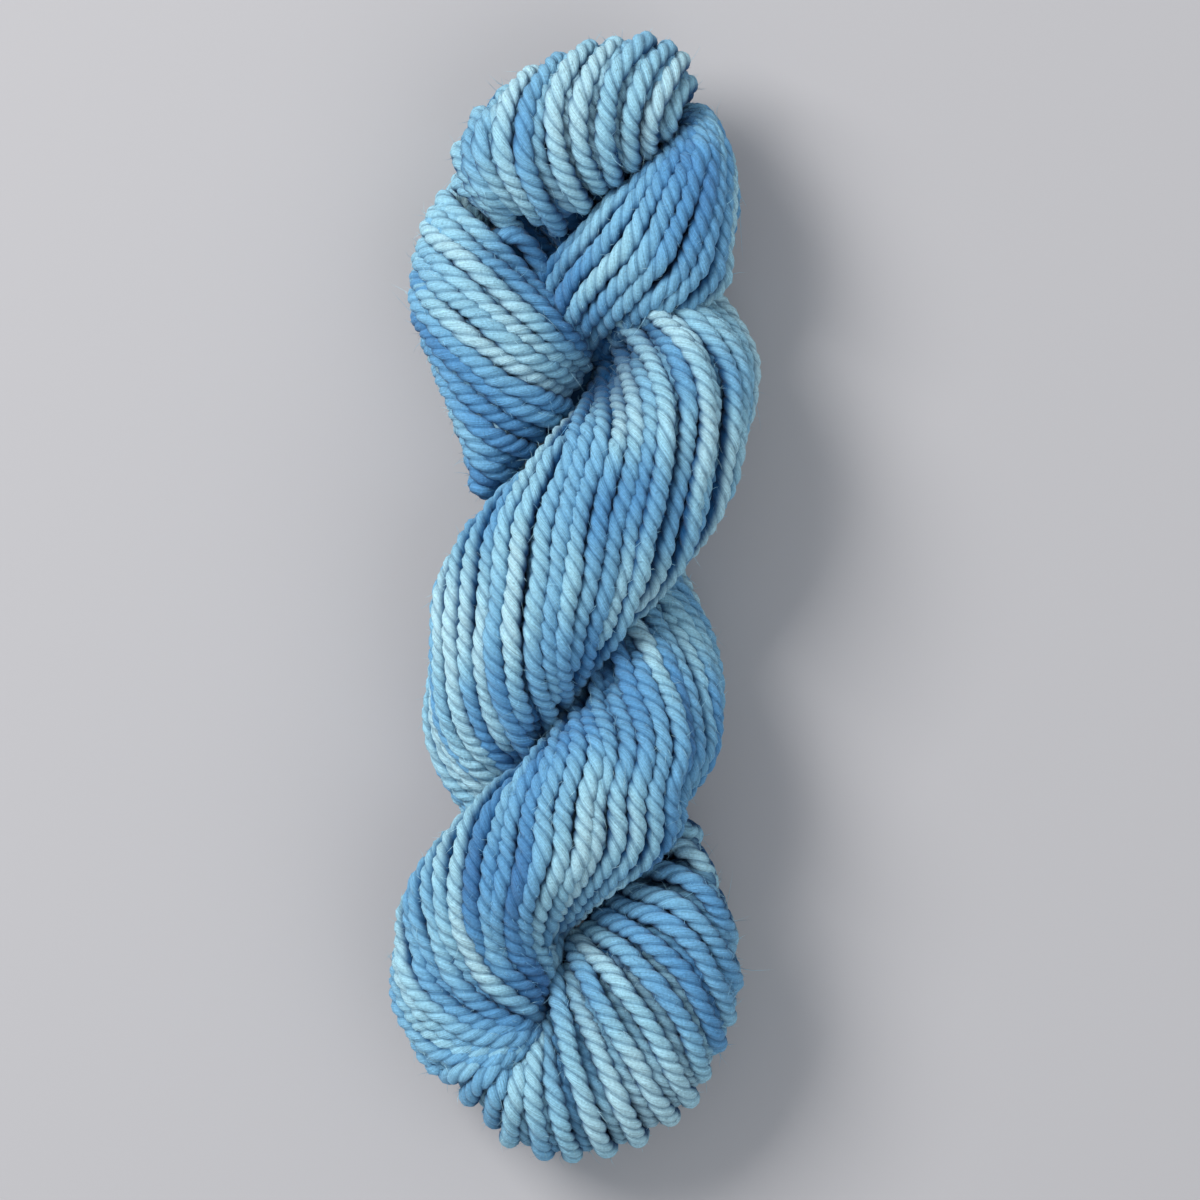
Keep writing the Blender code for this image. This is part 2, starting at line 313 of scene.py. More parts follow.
def wool_material(name):
    """Wool whose dye is a noise along the yarn mixed with one over the hank. Its colour
    is made lighter and darker along the fibres, and turns to a painted shade blue where
    its painted light is low and between its plies."""
    material = bpy.data.materials.new(name)
    material.use_nodes = True
    tree = material.node_tree
    link = tree.links.new
    shader = tree.nodes["Principled BSDF"]
    uv = add_node(tree, "ShaderNodeUVMap", uv_map="along_and_round")
    split = add_node(tree, "ShaderNodeSeparateXYZ")
    link(uv.outputs["UV"], split.inputs[0])
    place = add_node(tree, "ShaderNodeTexCoord").outputs["Object"]

    along = add_node(tree, "ShaderNodeCombineXYZ")
    link(split.outputs["X"], along.inputs["X"])
    dye = noise_node(tree, along.outputs[0], DYE_CHANGES, DYE_DETAIL)
    patch = noise_node(tree, place, PATCH_CHANGES, 1.0)
    both = add_node(tree, "ShaderNodeMix", data_type="FLOAT")
    both.inputs[0].default_value = PATCH_SHARE
    link(dye, both.inputs[2])
    link(patch, both.inputs[3])
    paleness = add_node(tree, "ShaderNodeAttribute", attribute_name="paleness").outputs["Fac"]
    blues = add_node(tree, "ShaderNodeValToRGB")
    while len(blues.color_ramp.elements) < len(DYE_RAMP):
        blues.color_ramp.elements.new(0.5)
    for element, (position, blue) in zip(blues.color_ramp.elements, DYE_RAMP):
        element.position = position
        element.color = blue
    link(math_node(tree, "ADD", both.outputs[0], paleness), blues.inputs["Fac"])

    # Fibres: a noise drawn out along the plies, with a finer one for single hairs.
    stretch = add_node(tree, "ShaderNodeCombineXYZ")
    link(math_node(tree, "MULTIPLY", split.outputs["X"], LINES_ALONG), stretch.inputs["X"])
    link(math_node(tree, "MULTIPLY", split.outputs["Y"], LINES_ROUND), stretch.inputs["Y"])
    coarse = noise_node(tree, stretch.outputs[0], 1.0, 3.0, 0.6)
    fine = noise_node(tree, place, HAIR_CHANGES, 2.0, 0.6)
    lines = linear_node(tree, coarse, 0.30, 0.70, *LINE_TONE)
    hairs = linear_node(tree, fine, 0.30, 0.70, *HAIR_TONE)
    tone = add_node(tree, "ShaderNodeVectorMath", operation="SCALE")
    link(blues.outputs["Color"], tone.inputs[0])
    link(math_node(tree, "MULTIPLY", lines, hairs), tone.inputs["Scale"])

    # Painted shade in the valleys: |cos(plies * half turns)| is 1 on a ply and 0 between two.
    wave = math_node(tree, "MULTIPLY", split.outputs["Y"], PLIES * np.pi)
    ridge = math_node(tree, "ABSOLUTE", math_node(tree, "COSINE", wave))
    depth = linear_node(tree, ridge, 0.0, PLY_SHARE, VALLEY_PAINTED_SHADE, 1.0)
    # Painted shade: where the painted light is low, and in the ply valleys, the colour turns to
    # the painted shade blue.
    painted_light = add_node(tree, "ShaderNodeAttribute", attribute_name="painted_light").outputs["Fac"]
    lit = linear_node(tree, painted_light, 0.0, FULL_PAINTED_LIGHT, 0.0, 1.0, True)
    colour = add_node(tree, "ShaderNodeMix", data_type="RGBA")
    colour.inputs[6].default_value = PAINTED_SHADE_BLUE
    link(math_node(tree, "MULTIPLY", lit, depth), colour.inputs[0])
    link(tone.outputs[0], colour.inputs[7])
    link(colour.outputs[2], shader.inputs["Base Color"])

    bump = add_node(tree, "ShaderNodeBump", Strength=0.9, Distance=FIBRE_HEIGHT)
    link(math_node(tree, "ADD", coarse, fine), bump.inputs["Height"])
    link(bump.outputs["Normal"], shader.inputs["Normal"])
    shader.inputs["Roughness"].default_value = 0.95
    shader.inputs["Specular IOR Level"].default_value = 0.15
    shader.inputs["Sheen Weight"].default_value = 0.15
    shader.inputs["Sheen Roughness"].default_value = 0.45
    shader.inputs["Sheen Tint"].default_value = SHEEN_BLUE
    return material


dyed_wool = wool_material("dyed_wool")


# ---------------------------------------------------------------------------------------
# The rope. Both halves of the folded loop are laid round each other. A strand holds about
# thirty yarns round its outline, which its own twist turns against the lay of the rope.

MID_HEIGHT = 23.5  # of the rope's axis
RISE = 12.5  # of a strand's middle over the axis, where it lies in front
SIDE_HALF_WIDTH = 22.6  # of a strand where it lies at the side of the other
FRONT_HALF_WIDTH = 30.2  # and spread, where it lies in front
SIDE_HALF_HEIGHT = 22.1
FRONT_HALF_HEIGHT = 16.8
CONTACT_WIDTH = 19.2  # of the oval round the axis in which the strands press on each other
CONTACT_HEIGHT = 14.9
CONTACT_BLEND = 0.5  # rounding of the pressed side, as a share of that oval
HELD_OFF = 0.04  # how far the strands' outlines stay apart, as a share of it
FLOOR_BLEND = 5.3  # rounding of the flattened underside
NOTCH = 5.4  # the second strand's right edge is narrower where the end turn begins
NOTCH_Y = -46.5
NOTCH_REACH = 8.0
LAY = [  # y, angle of the first strand, axis x, distance from it, lift, second's loss
    (-108.6, 365, -3.4, 18.6, 0.0, 0.0),
    (-85.2, 360, -3.1, 18.6, 0.0, 0.0),
    (-55.5, 270, -1.7, 16.2, 0.0, 0.0),
    (-24.8, 180, -0.2, 13.8, 0.0, 0.0),
    (14.0, 90, 2.2, 15.2, 0.0, 1.5),
    (31.0, 52, 3.2, 16.4, 0.0, 4.2),
    (53.8, 0, 4.1, 17.6, 0.0, 4.6),
    (79.1, -68, 1.4, 18.6, 1.6, 4.6),
    (93.8, -96, 0.6, 18.6, 6.6, 4.6),
    (107.0, -120, 5.4, 18.6, 12.0, 4.6),
]
STRAND_YARNS = 30
SPACING = 0.25  # how uneven their spacing is, as a share of it
LOW_SHARE = 0.28  # of a strand's yarns, that lie a little deeper
LOW = 1.2
ROLLING = 0.45  # how much each yarn's depth changes along it
ROLLING_WAVE = 90.0
YARN_TWIST = 0.54  # turns of the yarns in a strand for each turn of the rope
TWIST_SWING = 0.15  # how much more of that twist shows where the strand is in front
PRESSED_LOW = 3.6  # how much deeper every other yarn lies where the strands are pressed
RUN_POINTS = 260  # of a yarn's path along a strand
OUTLINE_POINTS = 97  # round a section, to measure its outline
FIRST_RUN = (104.0, -90.0)  # y where the first strand's yarns start and end
SECOND_RUN = (26.0, -60.0)
TURN_COVER = (-58.0, 14.0)  # y where the first strand goes under the end turn, its length
TURN_COVER_SINK = 8.0
LOOP_COVER = (70.0, 9.0)  # y where it goes under the open loop, and its length
LOOP_COVER_SINK = 1.5
LOOP_COVER_SHADE = 9.0  # extra depth by which its yarns there get painted shade
LEG_COVER_SINK = 3.0  # of the second strand in the left leg, at first
LEG_COVER_END = 8.0  # and more and more towards its end


def smooth_rows(place, rows):
    """Columns of a table at the places given, on cubics through its rows."""
    table = np.array(rows, float)
    keys, values = table[:, 0], table[:, 1:]
    slopes = np.gradient(values, keys, axis=0)
    place = np.clip(place, keys[0], keys[-1])
    row = np.clip(np.searchsorted(keys, place, side="right") - 1, 0, len(keys) - 2)
    span = (keys[row + 1] - keys[row])[..., None]
    u = (place - keys[row])[..., None] / span
    start = (2 * u**3 - 3 * u**2 + 1) * values[row] + (u**3 - 2 * u**2 + u) * span * slopes[row]
    end = (3 * u**2 - 2 * u**3) * values[row + 1] + (u**3 - u**2) * span * slopes[row + 1]
    return np.moveaxis(start + end, -1, 0)


def soft_max(value, least, blend):
    """The larger of two values, rounded where they are within the blend of each other."""
    share = np.clip(0.5 + 0.5 * (value - least) / blend, 0, 1)
    return value * share + least * (1 - share) + blend * share * (1 - share)


def contact_push(away, depth):
    """How far points are pushed off the other strand; deeper ones are held further off."""
    least = HELD_OFF + (depth - YARN_RADIUS) / CONTACT_WIDTH
    return soft_max(away, least, CONTACT_BLEND) - away


def strand_surface(y, around, side, depth):
    """Points of a strand at a depth under its outline, in planes across the hank: an
    oval round the strand's own middle, pressed flat on the other strand and the floor."""
    turn, axis_x, offset, lift, loss = smooth_rows(y, LAY)
    angle = np.radians(turn + side)
    in_front = np.clip(np.sin(angle), 0, 1) ** 2
    at_side = np.cos(angle) ** 2
    half_width = SIDE_HALF_WIDTH + (FRONT_HALF_WIDTH - SIDE_HALF_WIDTH) * in_front
    half_height = FRONT_HALF_HEIGHT + (SIDE_HALF_HEIGHT - FRONT_HALF_HEIGHT) * at_side
    if side:
        notch = NOTCH * np.exp(-(((y - NOTCH_Y) / NOTCH_REACH) ** 2))
        half_width = half_width - loss - notch * np.clip(np.cos(around), 0, 1)
    x = axis_x + offset * np.cos(angle) + (half_width - depth) * np.cos(around)
    z = MID_HEIGHT + RISE * np.sin(angle) + (half_height - depth) * np.sin(around)
    away = (x - axis_x) / CONTACT_WIDTH * np.cos(angle)
    away = away + (z - MID_HEIGHT) / CONTACT_HEIGHT * np.sin(angle)
    push = contact_push(away, depth)
    x = x + push * np.cos(angle) * CONTACT_WIDTH
    z = z + push * np.sin(angle) * CONTACT_HEIGHT
    if not side:
        z = z + lift
    z = soft_max(z, YARN_RADIUS, FLOOR_BLEND)
    return np.stack(np.broadcast_arrays(x, y, z), axis=-1)


def angles_at_shares(outline, around, shares):
    """Section angle at which each share of the outline's length is reached."""
    step = np.linalg.norm(np.diff(outline, axis=1), axis=2)
    reached = np.concatenate([np.zeros((len(step), 1)), np.cumsum(step, axis=1)], axis=1)
    wanted = (shares % 1.0) * reached[:, -1]
    index = np.clip((reached[None] <= wanted[..., None]).sum(-1) - 1, 0, len(around) - 2)
    section = np.broadcast_to(np.arange(len(step)), index.shape)
    part = (wanted - reached[section, index]) / np.maximum(step[section, index], 1e-9)
    return around[index] + part * (around[index + 1] - around[index])


def strand_yarns(side, run, count, sunk, under=0.0):
    """Paths of a strand's yarns. Each keeps its share of the outline but for the twist,
    which goes with the strand's angle. They lie at one depth under the outline and are
    sunk further by a function of y. The result also has how far each yarn is sunk, and
    its section angle."""
    y = np.linspace(run[0], run[1], RUN_POINTS)
    angle = np.radians(smooth_rows(y, LAY)[0] + side)
    swing = YARN_TWIST * TWIST_SWING * np.sin(2 * angle) / 2
    twist = -(YARN_TWIST * angle - swing) / (2 * np.pi)
    jitter = rng.uniform(-SPACING, SPACING, count)
    shares = (np.arange(count) + jitter)[:, None] / count + twist[None]
    fine = np.linspace(0, 2 * np.pi, OUTLINE_POINTS)
    outline = strand_surface(y[:, None], fine[None], side, YARN_RADIUS)
    around = angles_at_shares(outline, fine, shares)
    low = LOW * (rng.random(count) < LOW_SHARE)[:, None]
    inward = -(np.cos(around) * np.cos(angle) + np.sin(around) * np.sin(angle))
    pressed = ramp(inward, 0.1, 0.4) * (np.arange(count) % 2)[:, None]
    low = low + PRESSED_LOW * pressed
    depth = YARN_RADIUS + (under + sunk(y)) + low + ROLLING * slow_noise(y, ROLLING_WAVE, count)
    paths = strand_surface(y[None], around, side, depth)
    outwards = np.stack([np.cos(around), 0 * around, np.sin(around)], axis=-1)
    return paths, outwards, depth - YARN_RADIUS, around


def first_sunk(y):
    """How deep the first strand's yarns sink, under the turn at the lower end and under
    the open loop at the upper end."""
    under_turn = ramp(-y, -TURN_COVER[0], TURN_COVER[1])
    return TURN_COVER_SINK * under_turn + LOOP_COVER_SINK * ramp(y, *LOOP_COVER)


def second_sunk(y):
    """How deep the second strand's yarns sink into the left leg, towards a round end."""
    return LEG_COVER_SINK * ramp(y, 14.0, 10.0) + LEG_COVER_END * ramp(y, 16.0, 10.0) ** 2


paths, outwards, sinks, _ = strand_yarns(0, FIRST_RUN, STRAND_YARNS, first_sunk)
# Under the open loop the first strand's yarns get extra painted shade, more than their depth
# gives.
under_loop_shade = LOOP_COVER_SHADE * ramp(paths[..., 1], *LOOP_COVER)
piece = lay_yarns("first_strand_yarns", paths, outwards, sinks + under_loop_shade, 0.045)
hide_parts("hank")
second_strand = strand_yarns(180, SECOND_RUN, STRAND_YARNS, second_sunk)


# ---------------------------------------------------------------------------------------
# The end turn. At the fold the yarns bend flat round the lowest pinch of the rope: they
# dive out of it, run outwards in a whirl and go round the edge to the underside.

PIVOT_X = -3.1  # the pinch that it bends round
PIVOT_Y = -85.2
PIVOT_GAP = 1.0  # how near it comes to the pinch
PIVOT_BLEND = 6.0  # rounding of its inner side there
END_TURN = [  # degrees (0 right, 90 down), middle's distance, half width, height, half height
    (-75, 24.0, 20.6, 12.0, 12.0),
    (-40, 22.5, 21.1, 15.8, 15.8),
    (0, 18.8, 22.2, 22.8, 21.2),
    (30, 22.8, 22.3, 23.0, 21.1),
    (60, 24.7, 24.4, 23.0, 20.6),
    (90, 24.9, 24.7, 22.0, 19.6),
    (120, 22.3, 22.4, 22.0, 20.1),
    (150, 19.6, 23.4, 23.2, 21.4),
    (180, 18.6, 23.6, 23.5, 22.1),
    (215, 18.6, 20.6, 23.5, 20.1),
]
UNROLL = 20.0  # mm of y that count as a radian, above the turn
LEFT_START = 180 + np.degrees((SECOND_RUN[1] - PIVOT_Y) / UNROLL)
SEAM = [  # section place where a yarn comes in; place, angle and slope at the seam
    (0.00, 0.02, 122, 0.0020),
    (0.45, 0.20, 121, 0.0026),
    (0.62, 0.28, 119, 0.0028),
    (0.83, 0.37, 116, 0.0034),
    (1.04, 0.43, 114, 0.0048),
    (1.27, 0.45, 111, 0.0055),
    (1.50, 0.48, 109, 0.0075),
    (1.70, 0.53, 111, 0.0090),
    (1.90, 0.60, 115, 0.0100),
]
DIVE = 7.0  # how far the yarns sink where they reach the seam
DIVE_START = 12.0  # degrees before the seam where that starts
DIVE_SPAN = 20.0  # and in which it is done
PAST_SEAM = 12.0  # degrees that a yarn goes on past the seam, out of sight
EVERY_OTHER = 4.5  # how much deeper every other yarn gets, where they crowd at the seam
CROWDING = 85.0  # degrees before the seam where that starts
LAST_ROUND = 1.85  # section place up to which a strand's yarn goes on round the turn


def turn_surface(degrees, out, up, depth):
    """Points of the end turn in upright planes through the pinch: an oval whose inner
    side is held back from the pinch; out and up are its cosine and sine."""
    middle, half_width, height, half_height = smooth_rows(degrees, END_TURN)
    reach = soft_max(middle + (half_width - depth) * out, PIVOT_GAP, PIVOT_BLEND)
    z = soft_max(height + (half_height - depth) * up, YARN_RADIUS, FLOOR_BLEND)
    angle = np.radians(degrees)
    x = PIVOT_X + reach * np.cos(angle)
    return np.stack([x, PIVOT_Y - reach * np.sin(angle), z], axis=-1)


# The second strand's yarns go on round the left of the turn: they curve in from the left
# edge and dive at the seam. Section place is 0 at the pinch, 0.5 on top, 1 at the edge.


def left_surface(degrees, place, depth):
    """Points and outward directions of the turn up to 180 degrees and of the second
    strand above it, mixed over a few degrees."""
    out, up = -np.cos(np.pi * place), np.sin(np.pi * place)
    y = PIVOT_Y + np.radians(degrees - 180) * UNROLL
    above = strand_surface(np.maximum(y, PIVOT_Y), np.pi * place, 180, depth)
    below = turn_surface(degrees, out, up, depth)
    mix = ramp(degrees, 177, 6)[..., None]
    angle = np.radians(np.minimum(degrees, 180))
    away = np.stack([out * np.cos(angle), -out * np.sin(angle), up], axis=-1)
    return above * mix + below * (1 - mix), away


def left_yarns(strand):
    """A strand's yarns led on round the left of the turn. The section place of each is
    a cubic of the angle, from the strand's own slope to the slope at the seam."""
    paths, outwards, sinks, around = strand
    place = (around / np.pi)[:, -1:]
    kept = place[:, 0] < LAST_ROUND
    slope = (around[kept, -2] - around[kept, -1])[:, None] / np.pi
    slope = slope / np.degrees((SECOND_RUN[0] - SECOND_RUN[1]) / (RUN_POINTS - 1) / UNROLL)
    place = place[kept]
    seam_place, seam_angle, seam_slope = smooth_rows(place, SEAM)
    share = np.linspace(0, 1, 70)[None, 1:]
    degrees = LEFT_START + (seam_angle - LEFT_START) * share
    turn = LEFT_START - seam_angle
    smooth = 3 * share**2 - 2 * share**3
    places = place * (1 - smooth) + seam_place * smooth
    places = places - turn * slope * (share**3 - 2 * share**2 + share)
    places = places - turn * seam_slope * (share**3 - share**2)
    past = np.linspace(0, PAST_SEAM, 8)[None, 1:]
    degrees = np.concatenate([degrees, seam_angle - past], axis=1)
    places = np.concatenate([places, seam_place - seam_slope * past], axis=1)
    rank = (np.arange(len(kept))[kept] % 2)[:, None]
    near = ramp(seam_angle + CROWDING - degrees, 0, CROWDING)
    dive = DIVE * ramp(seam_angle + DIVE_START - degrees, 0, DIVE_SPAN) ** 1.3
    deep = sinks[kept, -1:] + rank * EVERY_OTHER * near + dive
    more, away = left_surface(degrees, places, YARN_RADIUS + deep)
    led = list(enumerate(np.flatnonzero(kept)))
    joined = [np.concatenate([paths[i], more[k]]) for k, i in led]
    turned = [np.concatenate([outwards[i], away[k]]) for k, i in led]
    sunk = [np.concatenate([sinks[i], deep[k]]) for k, i in led]
    rest = ~kept
    return joined + [*paths[rest]], turned + [*outwards[rest]], sunk + [*sinks[rest]]


lay_yarns("second_strand_yarns", *left_yarns(second_strand), -0.02)

# The right and lower yarns of the turn, from the right edge round to the seam. Every
# other yarn lies between two rows and only comes up near the edge.
WHIRL = [  # order, inner x and y, outer x and y, bulge to the left, height, half height
    (0, 21.5, -53.5, 30.0, -58.0, 0.5, 17.0, 13.0),
    (1, 19.0, -58.0, 34.2, -71.0, 3.0, 19.8, 15.8),
    (2, 15.2, -63.5, 38.6, -84.0, 5.2, 22.0, 18.0),
    (3, 11.2, -68.0, 39.6, -94.0, 5.6, 22.6, 19.0),
    (4, 8.0, -71.2, 38.2, -102.5, 6.6, 22.9, 19.8),
    (5, 4.8, -73.8, 35.6, -109.3, 5.2, 23.0, 20.2),
    (6, 2.6, -77.0, 32.0, -116.6, 4.8, 23.0, 20.4),
    (7, -0.2, -79.2, 28.6, -122.2, 2.4, 23.0, 20.5),
    (8, -1.9, -81.5, 24.2, -126.9, -0.4, 22.9, 20.5),
    (9, -3.0, -85.0, 16.8, -131.9, -0.6, 22.6, 20.4),
    (10, -5.2, -88.0, 8.8, -134.8, -1.8, 22.2, 20.0),
    (11, -6.8, -92.4, 0.2, -136.0, -2.4, 22.0, 19.8),
    (12, -8.2, -98.5, -7.8, -135.4, -2.0, 22.0, 19.8),
    (13, -8.8, -103.5, -15.5, -132.3, -1.8, 22.0, 19.8),
    (14, -9.8, -105.9, -20.9, -127.0, -2.4, 22.2, 19.7),
    (15, -13.0, -107.9, -27.4, -121.4, -1.0, 22.4, 19.6),
    (16, -17.5, -108.5, -32.4, -115.2, 0.0, 22.4, 19.0),
]
WHIRL_SINKS = ((0.2, 0.0), (5.0, 2.7))  # inner and outer depth of a row's yarn and the next
WHIRL_LOW = (9, 11, 14)  # rows whose yarn lies lower
WHIRL_LOW_SINK = 3.0
HOOP_SPACING = 0.12  # how uneven the spacing of yarns laid in rows is, as a share of it
HOOP_ROLLING = 0.3  # and how much their depth changes along them
LEAN_FROM = 0.7  # section place from which they lean, where they do
LEAN_SPAN = 0.6


def leaf_surface(share, out, up, rows, depth):
    """Points and outward directions of a strand whose upright oval sections stand
    between an inner and an outer edge, bulged sideways between them; out and up are
    the oval's cosine and sine."""
    inner_x, inner_y, outer_x, outer_y, bulge, height, half_height = smooth_rows(share, rows)
    across_x = (outer_x - inner_x) / 2
    across_y = (outer_y - inner_y) / 2
    half_width = np.hypot(across_x, across_y)
    keep = (half_width - depth) / half_width
    side = bulge * (1 - out**2) / half_width
    x = (inner_x + outer_x) / 2 + across_x * keep * out - across_y * side
    y = (inner_y + outer_y) / 2 + across_y * keep * out + across_x * side
    z = soft_max(height + (half_height - depth) * up, YARN_RADIUS, FLOOR_BLEND)
    points = np.stack(np.broadcast_arrays(x, y, z), axis=-1)
    away_x = across_x / half_width * out
    away_y = across_y / half_width * out
    return points, np.stack([away_x, away_y, up + 0 * x], axis=-1)


def hoop_yarns(
    name, rows, run, sinks, paleness,
    lean=0.0, first=0.0, rise_from=0.25, fineness=(ROUND, YARN_STEP),
):
    """Yarns that go round a strand side by side, from one order past the first row to as
    far before the last. Each runs from one section place to another: 0 is the inner edge,
    1 the outer edge and 2 the inner edge below. It has a depth at its inner end and one
    at its outer end. Round the edge the middle ones lean back, by a number of rows."""
    place = np.linspace(*run, 90)[None]
    out, up = -np.cos(np.pi * place), np.sin(np.pi * place)
    last = rows[-1][0]
    count = len(sinks)
    jitter = rng.uniform(-HOOP_SPACING, HOOP_SPACING, count)
    order = first + (np.arange(count) + jitter)[:, None] * (last - 2 * first) / (count - 1)
    inner, outer = np.array(sinks).T
    rise = ramp(place - rise_from, rng.uniform(-0.1, 0.15, (count, 1)), 0.5)
    rise = rise**2 * (3 - 2 * rise)
    sink = inner[:, None] + (outer - inner)[:, None] * rise
    sink = sink + HOOP_ROLLING * slow_noise(place[0], 1.1, count)
    middle = 4 * order / last * (1 - order / last)
    order = order - lean * middle * ramp(place, LEAN_FROM, LEAN_SPAN) ** 1.5
    paths, outwards = leaf_surface(order, out, up, rows, YARN_RADIUS + sink)
    lay_yarns(name, paths, outwards, sink, paleness, *fineness)


whirl_sinks = np.tile(WHIRL_SINKS, (len(WHIRL), 1))[:-1]
whirl_sinks[np.array(WHIRL_LOW) * 2, 0] = WHIRL_LOW_SINK
hoop_yarns("whirl_yarns", WHIRL, (-0.02, 1.9), whirl_sinks, 0.015)


# ---------------------------------------------------------------------------------------
# The open loop. One end of the wound loop stays open round the other: its left leg
# wraps over the edge and dives under the rope, its right leg lies on top of it, and the
# arch between them passes behind the fan.

LEFT_LEG = [  # one row for each yarn, with the columns of the whirl
    (0, 4.1, 60.2, -33.6, 97.2, -0.3, 20.0, 13.0),
    (1, 5.6, 55.0, -36.2, 92.8, -1.4, 21.6, 16.2),
    (2, 3.8, 52.8, -37.4, 88.4, -0.4, 22.4, 17.6),
    (3, 2.6, 50.8, -38.3, 84.4, 0.5, 22.8, 18.3),
    (4, 1.8, 48.8, -39.3, 80.2, 1.3, 23.0, 18.5),
    (5, 1.2, 46.0, -39.8, 75.4, 2.2, 23.0, 18.5),
    (6, 0.4, 42.6, -39.2, 70.0, 3.0, 22.7, 18.2),
    (7, -1.5, 39.0, -37.9, 64.8, 2.6, 22.3, 17.9),
    (8, -4.6, 35.8, -35.4, 58.4, 2.6, 21.4, 17.0),
    (9, -7.2, 32.6, -32.4, 51.2, 3.0, 20.4, 15.8),
    (10, -10.2, 30.0, -30.0, 45.4, 2.6, 19.5, 14.8),
    (11, -13.0, 27.6, -27.9, 40.2, 2.0, 18.6, 13.7),
    (12, -15.6, 25.2, -26.2, 34.8, 1.5, 17.5, 12.6),
    (13, -18.0, 23.2, -24.9, 29.2, 0.8, 16.6, 11.3),
]
LEG_SINKS = [  # inner and outer depth of each
    (0.0, 0.0), (1.4, 0.4), (0.0, 0.0), (0.8, 0.3), (0.0, 0.0), (1.6, 0.5), (0.0, 0.0),
    (0.8, 0.0), (1.9, 0.6), (0.0, 0.0), (1.5, 0.5), (0.0, 0.0), (1.4, 0.4), (0.6, 0.0),
]
BACK_ARCH = [  # share of its length, then the same columns
    (0.00, -20.8, 84.0, -35.5, 90.6, 0.0, 15.2, 9.4),
    (0.17, -19.4, 87.3, -32.0, 99.3, 0.0, 12.9, 10.0),
    (0.33, -12.7, 91.4, -22.3, 110.6, 0.0, 11.0, 10.0),
    (0.50, -3.1, 95.9, -6.9, 118.0, 0.0, 10.5, 9.6),
    (0.67, 7.4, 100.7, 10.3, 120.4, 0.0, 11.0, 9.6),
    (0.83, 15.6, 104.6, 23.2, 119.4, 0.0, 13.4, 10.0),
    (1.00, 19.9, 107.0, 31.4, 116.1, 0.0, 17.2, 11.0),
]
RIGHT_LEG = [  # the same
    (0.00, 13.7, 107.0, 18.0, 117.7, 0.0, 14.9, 7.2),
    (0.12, 24.2, 112.2, 31.0, 117.6, 0.0, 20.1, 8.1),
    (0.27, 22.0, 109.1, 37.3, 107.0, 0.0, 25.4, 11.0),
    (0.43, 15.6, 102.9, 39.3, 95.0, 0.0, 28.3, 13.4),
    (0.59, 6.9, 94.8, 38.2, 82.0, 0.0, 29.2, 14.4),
    (0.75, -3.1, 84.7, 35.8, 73.0, 0.0, 28.3, 13.9),
    (0.88, -11.3, 75.3, 23.5, 63.6, 0.0, 24.0, 11.5),
    (1.00, -16.5, 65.8, 10.3, 53.8, 0.0, 18.2, 8.1),
]
ARCH_YARNS = 16
RIGHT_YARNS = 19
LEG_LEAN = 1.7  # rows that the left leg's middle yarns lean back


def axial_yarns(rows, count, twist, low):
    """Yarns that run along a strand, each at its own share of the section's outline,
    which shifts by the turns of the twist from one end to the other."""
    share = np.linspace(0, 1, 120)
    fine = np.linspace(0, 2 * np.pi, OUTLINE_POINTS)
    round_it = (np.cos(fine)[None], np.sin(fine)[None])
    outline, _ = leaf_surface(share[:, None], *round_it, rows, YARN_RADIUS)
    jitter = rng.uniform(-0.15, 0.15, count)
    wanted = (np.arange(count) + jitter)[:, None] / count + twist * share[None]
    around = angles_at_shares(outline, fine, wanted)
    sink = low + 0.4 * slow_noise(share, 0.5, count)
    depth = YARN_RADIUS + sink
    return *leaf_surface(share[None], np.cos(around), np.sin(around), rows, depth), sink


hoop_yarns("left_leg_yarns", LEFT_LEG, (0.04, 1.9), LEG_SINKS, -0.01, LEG_LEAN)
lay_yarns("back_arch_yarns", *axial_yarns(BACK_ARCH, ARCH_YARNS, 0.2, 1.5))
lay_yarns("right_leg_yarns", *axial_yarns(RIGHT_LEG, RIGHT_YARNS, -0.06, 0.0), -0.02)

# One slack yarn of the loop stands up alone in the hollow between the legs.
SLACK_YARN = np.array([  # x, y, z
    (-24.5, 80.0, 16.0), (-22.0, 82.6, 21.0), (-19.2, 85.0, 26.0), (-16.2, 86.4, 29.5),
    (-13.2, 85.9, 31.0), (-10.6, 83.4, 31.2), (-8.6, 79.9, 30.0), (-7.0, 75.8, 26.5),
    (-5.8, 71.5, 21.0), (-5.0, 67.0, 15.0),
])
SLACK_SINK = 0.8  # depth that it is darkened by, in the shade of the hollow
slack_up = np.tile([0.0, 0.0, 1.0], (len(SLACK_YARN), 1))
slack_sink = np.full(len(SLACK_YARN), SLACK_SINK)
lay_yarns("slack_yarn", [SLACK_YARN], [slack_up], [slack_sink], 0.06)


# ---------------------------------------------------------------------------------------
# The fan. The other end of the loop stands up between the legs. Its yarns spread from
# the pinch line, run over the top edge and go down behind.

FAN = [  # the columns of the whirl
    (0, -12.0, 85.5, -29.5, 101.0, 0.0, 22.0, 9.0),
    (1, -14.5, 88.0, -28.6, 108.7, 2.5, 24.5, 11.0),
    (2, -15.0, 90.0, -23.5, 116.7, 5.0, 27.0, 13.0),
    (3, -12.8, 90.5, -16.2, 122.6, 7.2, 29.0, 14.3),
    (4, -8.0, 88.0, -10.2, 127.0, 8.2, 30.3, 15.0),
    (5, -3.8, 84.9, -4.2, 130.0, 8.6, 31.0, 15.3),
    (6, 1.7, 90.5, 3.0, 133.0, 8.0, 31.1, 15.3),
    (7, 5.3, 94.8, 10.5, 134.3, 7.0, 31.1, 15.0),
    (8, 8.8, 97.0, 17.8, 134.8, 5.8, 31.0, 14.9),
    (9, 13.0, 100.2, 23.0, 132.9, 4.2, 30.4, 14.2),
    (10, 17.0, 103.6, 26.4, 129.9, 2.2, 29.0, 12.8),
    (11, 20.5, 107.6, 28.0, 125.2, 0.5, 27.5, 10.5),
]
